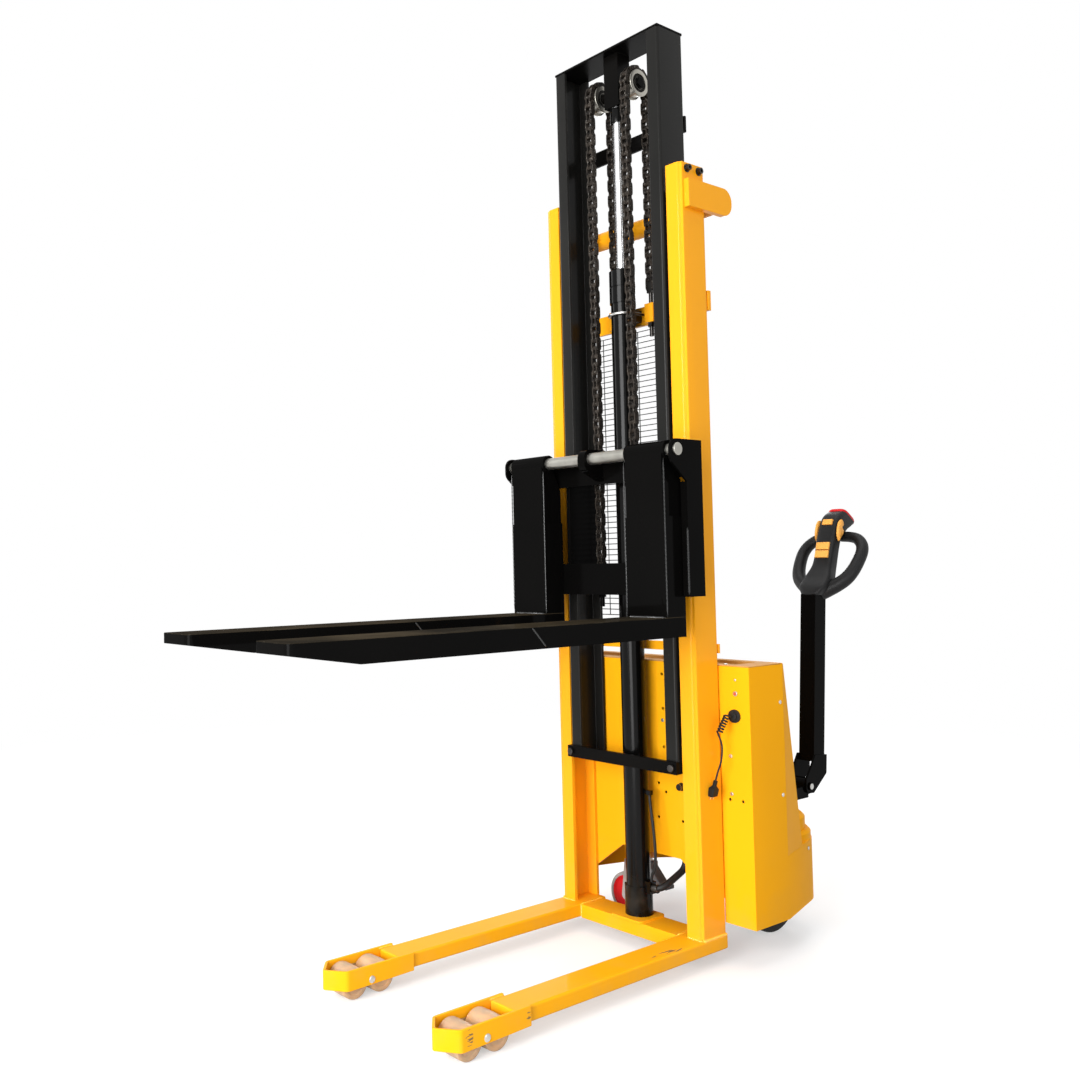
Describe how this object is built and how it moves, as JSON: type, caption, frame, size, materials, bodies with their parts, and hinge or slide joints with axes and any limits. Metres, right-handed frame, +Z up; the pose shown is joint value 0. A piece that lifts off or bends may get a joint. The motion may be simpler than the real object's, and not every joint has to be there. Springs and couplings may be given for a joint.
{
  "type": "electric stacker",
  "caption": "Walk-behind electric stacker: telescopic chain-lift mast, straddle legs with load rollers, sliding forks, steered drive wheel and a tilting tiller with controls.",
  "frame": {"origin": "on the floor, under the middle of the machine's length and width", "axes": "+X to the machine's right, +Y from the fork tips to the tiller, +Z up"},
  "size_m": [0.657, 2.1294, 2.443],
  "materials": {
    "yellow_paint": "gloss",
    "yellow_moulding": "gloss",
    "black_paint": "gloss",
    "zinc_steel": "zinc plated",
    "bearing_steel": "oiled",
    "bright_steel": "ground",
    "rod_chrome": "polished",
    "chain_steel": "oiled dark",
    "roller_urethane": "satin",
    "drive_tyre": "matt",
    "caster_urethane": "satin",
    "pedal_plastic": "satin",
    "drive_casting": "painted dark",
    "guide_plastic": "satin",
    "hose_rubber": "satin",
    "black_plastic": "fine grain",
    "orange_plastic": "satin",
    "red_plastic": "gloss",
    "pump_metal": "cast"
  },
  "bodies": {
    "chassis": {"leg_left": "yellow_paint", "leg_right": "yellow_paint", "base_crossbar": "yellow_paint", "mast_column_left": "yellow_paint", "mast_column_right": "yellow_paint", "mast_crossmembers": "yellow_paint", "mesh_guard": "black_paint", "guide_pads": "guide_plastic", "mast_fasteners": "zinc_steel", "lift_cylinder": "black_paint", "hydraulic_hoses": "hose_rubber", "chassis_frame": "yellow_paint", "main_cover": "yellow_paint", "front_panel": "yellow_paint", "rear_cover": "yellow_moulding", "top_lid": "yellow_paint", "battery_pack": "black_plastic", "power_unit": "pump_metal", "motor_controller": "pump_metal", "cover_fittings": "zinc_steel", "cord_grommet": "hose_rubber", "charger_cord": "hose_rubber", "charger_plug": "black_plastic", "chain_back_left": "chain_steel", "chain_back_right": "chain_steel"},
    "inner_mast": {"inner_channel_left": "black_paint", "inner_channel_right": "black_paint", "inner_crossmembers": "black_paint", "piston_rod": "rod_chrome", "chain_wraps": "chain_steel", "chain_front_left": "chain_steel", "chain_front_right": "chain_steel"},
    "carriage": {"carriage_frame": "black_paint", "fork_shaft": "bright_steel"},
    "steering": {"drive_unit": "drive_casting", "tiller_base": "black_paint"},
    "tiller": {"tiller_arm": "black_paint", "tiller_head": "black_plastic"},
    "mast_rollers": {"mast_rollers": "bearing_steel"},
    "sheave_left": {"sheave_left": "bearing_steel"},
    "sheave_right": {"sheave_right": "bearing_steel"},
    "carriage_rollers_upper": {"carriage_rollers_upper": "bearing_steel"},
    "carriage_rollers_lower": {"carriage_rollers_lower": "bearing_steel"},
    "fork_left": {"fork_left": "black_paint"},
    "fork_right": {"fork_right": "black_paint"},
    "bogie_left": {"bogie_left": "zinc_steel"},
    "bogie_right": {"bogie_right": "zinc_steel"},
    "load_roller_front_left": {"load_roller_front_left": "roller_urethane"},
    "load_roller_front_right": {"load_roller_front_right": "roller_urethane"},
    "load_roller_rear_left": {"load_roller_rear_left": "roller_urethane"},
    "load_roller_rear_right": {"load_roller_rear_right": "roller_urethane"},
    "drive_wheel": {"drive_wheel": "drive_tyre"},
    "butterfly_switch": {"butterfly_switch": "orange_plastic"},
    "belly_button": {"belly_button": "red_plastic"},
    "thumb_button": {"thumb_button": "orange_plastic"},
    "raise_button": {"raise_button": "orange_plastic"},
    "lower_button": {"lower_button": "orange_plastic"},
    "caster_fork": {"caster_fork": "zinc_steel"},
    "caster_wheel": {"caster_wheel": "caster_urethane"},
    "caster_pedal": {"caster_pedal": "pedal_plastic"}
  },
  "joints": [
    {"name": "mast_lift", "type": "slide", "parent": "chassis", "child": "inner_mast", "axis": [0, 0, 1], "range_m": [-0.394, 1.055], "deforming": ["chain_back_left", "chain_back_right"]},
    {"name": "carriage_lift", "type": "slide", "parent": "inner_mast", "child": "carriage", "axis": [0, 0, 1], "range_m": [-0.394, 1.055], "deforming": ["chain_front_left", "chain_front_right"]},
    {"name": "mast_roller_turn", "type": "hinge", "parent": "inner_mast", "child": "mast_rollers", "pos_m": [0, 0.20525, 0.53], "axis": [-1, 0, 0], "continuous": true},
    {"name": "sheave_left_turn", "type": "hinge", "parent": "inner_mast", "child": "sheave_left", "pos_m": [-0.063, 0.20025, 2.336], "axis": [-1, 0, 0], "continuous": true},
    {"name": "sheave_right_turn", "type": "hinge", "parent": "inner_mast", "child": "sheave_right", "pos_m": [0.063, 0.20025, 2.336], "axis": [-1, 0, 0], "continuous": true},
    {"name": "carriage_roller_upper_turn", "type": "hinge", "parent": "carriage", "child": "carriage_rollers_upper", "pos_m": [0, 0.19925, 1.225], "axis": [1, 0, 0], "continuous": true},
    {"name": "carriage_roller_lower_turn", "type": "hinge", "parent": "carriage", "child": "carriage_rollers_lower", "pos_m": [0, 0.19925, 1.005], "axis": [-1, 0, 0], "continuous": true},
    {"name": "fork_left_shift", "type": "slide", "parent": "carriage", "child": "fork_left", "axis": [1, 0, 0], "range_m": [0, 0.1]},
    {"name": "bogie_left_rock", "type": "hinge", "parent": "chassis", "child": "bogie_left", "pos_m": [-0.205, -0.59075, 0.048], "axis": [1, 0, 0], "range_deg": [-6, 6]},
    {"name": "load_roller_front_left_spin", "type": "hinge", "parent": "bogie_left", "child": "load_roller_front_left", "pos_m": [-0.205, -0.62075, 0.037], "axis": [1, 0, 0], "continuous": true},
    {"name": "load_roller_rear_left_spin", "type": "hinge", "parent": "bogie_left", "child": "load_roller_rear_left", "pos_m": [-0.205, -0.54275, 0.037], "axis": [1, 0, 0], "continuous": true},
    {"name": "fork_right_shift", "type": "slide", "parent": "carriage", "child": "fork_right", "axis": [-1, 0, 0], "range_m": [0, 0.1]},
    {"name": "bogie_right_rock", "type": "hinge", "parent": "chassis", "child": "bogie_right", "pos_m": [0.205, -0.59075, 0.048], "axis": [1, 0, 0], "range_deg": [-6, 6]},
    {"name": "load_roller_front_right_spin", "type": "hinge", "parent": "bogie_right", "child": "load_roller_front_right", "pos_m": [0.205, -0.62075, 0.037], "axis": [1, 0, 0], "continuous": true},
    {"name": "load_roller_rear_right_spin", "type": "hinge", "parent": "bogie_right", "child": "load_roller_rear_right", "pos_m": [0.205, -0.54275, 0.037], "axis": [1, 0, 0], "continuous": true},
    {"name": "steering_turn", "type": "hinge", "parent": "chassis", "child": "steering", "pos_m": [0.15, 0.54725, 0.236], "axis": [0, 0, 1], "range_deg": [-90, 90]},
    {"name": "drive_wheel_spin", "type": "hinge", "parent": "steering", "child": "drive_wheel", "pos_m": [0.15, 0.54725, 0.11], "axis": [1, 0, 0], "continuous": true},
    {"name": "tiller_tilt", "type": "hinge", "parent": "steering", "child": "tiller", "pos_m": [0.15, 0.74725, 0.371], "axis": [-1, 0, 0], "range_deg": [0, 75], "stiffness_Nm_per_rad": 16, "springref_deg": -40.11},
    {"name": "butterfly_turn", "type": "hinge", "parent": "tiller", "child": "butterfly_switch", "pos_m": [0.15, 0.94175, 1.11322], "axis": [1, 0, 0], "range_deg": [-30, 30], "stiffness_Nm_per_rad": 0.6},
    {"name": "belly_button_push", "type": "slide", "parent": "tiller", "child": "belly_button", "axis": [0, -0.2858, -0.9583], "range_m": [0, 0.004], "stiffness_N_per_m": 900, "springref_m": -0.004},
    {"name": "thumb_button_push", "type": "slide", "parent": "tiller", "child": "thumb_button", "axis": [0, 0.9013, -0.4331], "range_m": [0, 0.002], "stiffness_N_per_m": 600, "springref_m": -0.002},
    {"name": "raise_button_push", "type": "slide", "parent": "tiller", "child": "raise_button", "axis": [0, 0.9487, -0.3162], "range_m": [0, 0.002], "stiffness_N_per_m": 600, "springref_m": -0.002},
    {"name": "lower_button_push", "type": "slide", "parent": "tiller", "child": "lower_button", "axis": [0, 0.9487, -0.3162], "range_m": [0, 0.002], "stiffness_N_per_m": 600, "springref_m": -0.002},
    {"name": "caster_swivel", "type": "hinge", "parent": "chassis", "child": "caster_fork", "pos_m": [-0.1304, 0.36325, 0.176], "axis": [0, 0, 1], "continuous": true},
    {"name": "caster_wheel_spin", "type": "hinge", "parent": "caster_fork", "child": "caster_wheel", "pos_m": [-0.1654, 0.36325, 0.0625], "axis": [0, 1, 0], "continuous": true},
    {"name": "caster_pedal_press", "type": "hinge", "parent": "caster_fork", "child": "caster_pedal", "pos_m": [-0.0984, 0.36325, 0.152], "axis": [0, 1, 0], "range_deg": [0, 12]}
  ],
  "couplings": [
    {"joint": "carriage_lift", "follows": "mast_lift", "ratio": 1},
    {"joint": "mast_roller_turn", "follows": "mast_lift", "rad_per_m": 25.189},
    {"joint": "sheave_left_turn", "follows": "mast_lift", "rad_per_m": 23.291},
    {"joint": "sheave_right_turn", "follows": "mast_lift", "rad_per_m": 23.291},
    {"joint": "carriage_roller_upper_turn", "follows": "mast_lift", "rad_per_m": 23.981},
    {"joint": "carriage_roller_lower_turn", "follows": "mast_lift", "rad_per_m": 23.981}
  ]
}
